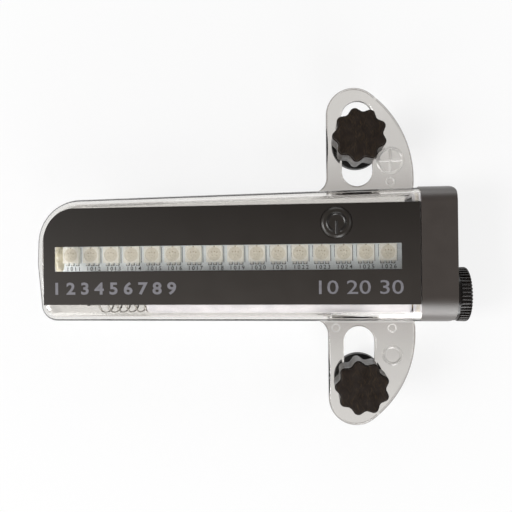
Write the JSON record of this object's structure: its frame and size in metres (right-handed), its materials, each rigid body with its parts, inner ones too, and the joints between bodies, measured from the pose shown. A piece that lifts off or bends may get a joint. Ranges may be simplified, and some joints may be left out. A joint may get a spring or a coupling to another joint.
{
  "type": "spoke wheel light",
  "caption": "Flat clear-bodied light for a bicycle wheel with a row of lights behind a film window, slotted side wings, star-knob spoke clamps and a knurled battery cap.",
  "frame": {"origin": "centre of the light's outline at its flat back face", "axes": "+X along the light towards the battery cap, +Y towards the upper wing, +Z out of the front with the window and the button"},
  "size_m": [0.1292, 0.1012, 0.0206],
  "materials": {
    "clear_plastic": "clear moulded polycarbonate, polished",
    "label_film": "matte dark printed film",
    "cap_plastic": "satin dark grey moulded ABS",
    "black_plastic": "satin black moulded nylon",
    "black_rubber": "moulded rubber",
    "red_rubber": "moulded silicone rubber",
    "milky_plastic": "milky white moulded polypropylene",
    "cell_sleeve": "shrink sleeve over a steel can",
    "spring_steel": "nickel-plated spring wire",
    "nickel_contact": "nickel-plated strip",
    "board_white": "white solder mask",
    "led_package": "white package with clear resin",
    "chip_black": "moulded epoxy",
    "capacitor_ceramic": "fired ceramic",
    "insert_brass": "turned brass"
  },
  "bodies": {
    "body": {"housing": "clear_plastic", "front_label": "label_film", "back_label": "label_film", "end_cap": "cap_plastic", "end_cap_seal": "black_rubber", "battery_tube": "milky_plastic", "left_cell": "cell_sleeve", "right_cell": "cell_sleeve", "battery_spring": "spring_steel", "spring_plate": "nickel_contact", "contact_ring": "nickel_contact", "circuit_board": "board_white", "front_leds": "led_package", "back_leds": "led_package", "led_driver": "chip_black", "tact_switch": "chip_black", "motion_sensor": "nickel_contact", "board_resistors": "chip_black", "board_capacitors": "capacitor_ceramic"},
    "button": {"power_button": "label_film", "switch_plunger": "milky_plastic"},
    "upper_slider": {"upper_bush": "black_plastic"},
    "upper_star": {"upper_knob": "black_plastic", "upper_knob_insert": "insert_brass"},
    "upper_bolt": {"upper_clamp_bolt": "black_plastic"},
    "lower_slider": {"lower_bush": "black_plastic"},
    "lower_star": {"lower_knob": "black_plastic", "lower_knob_insert": "insert_brass"},
    "lower_bolt": {"lower_clamp_bolt": "black_plastic"},
    "cap_carrier": {"cap_contact": "nickel_contact"},
    "screw_cap": {"battery_cap": "black_plastic", "cap_seal_ring": "red_rubber"}
  },
  "joints": [
    {"name": "power_button_press", "type": "slide", "parent": "body", "child": "button", "axis": [0, 0, -1], "range_m": [0, 0.0005], "stiffness_N_per_m": 300, "springref_m": -0.0005},
    {"name": "upper_clamp_slide", "type": "slide", "parent": "body", "child": "upper_slider", "axis": [0, 1, 0], "range_m": [-0.0064, 0.0078]},
    {"name": "upper_knob_turn", "type": "hinge", "parent": "upper_slider", "child": "upper_star", "pos_m": [0.0332, 0.0341, 0.0111], "axis": [0, 0, 1], "range_deg": [-720.5, 1080.5]},
    {"name": "upper_clamp_open", "type": "slide", "parent": "upper_slider", "child": "upper_bolt", "axis": [0, 0, -1], "range_m": [-0.0014, 0.0021]},
    {"name": "lower_clamp_slide", "type": "slide", "parent": "body", "child": "lower_slider", "axis": [0, -1, 0], "range_m": [-0.0095, 0.0048]},
    {"name": "lower_knob_turn", "type": "hinge", "parent": "lower_slider", "child": "lower_star", "pos_m": [0.0332, -0.0371, 0.0111], "axis": [0, 0, 1], "range_deg": [-720.5, 1080.5]},
    {"name": "lower_clamp_open", "type": "slide", "parent": "lower_slider", "child": "lower_bolt", "axis": [0, 0, -1], "range_m": [-0.0014, 0.0021]},
    {"name": "battery_cap_travel", "type": "slide", "parent": "body", "child": "cap_carrier", "axis": [1, 0, 0], "range_m": [0, 0.006]},
    {"name": "battery_cap_turn", "type": "hinge", "parent": "cap_carrier", "child": "screw_cap", "pos_m": [0.061, -0.0115, 0.009], "axis": [1, 0, 0], "range_deg": [0, 1440.5]}
  ],
  "couplings": [
    {"joint": "upper_knob_turn", "follows": "upper_clamp_open", "rad_per_m": 8976},
    {"joint": "lower_knob_turn", "follows": "lower_clamp_open", "rad_per_m": 8976},
    {"joint": "battery_cap_turn", "follows": "battery_cap_travel", "rad_per_m": 4188.8}
  ]
}
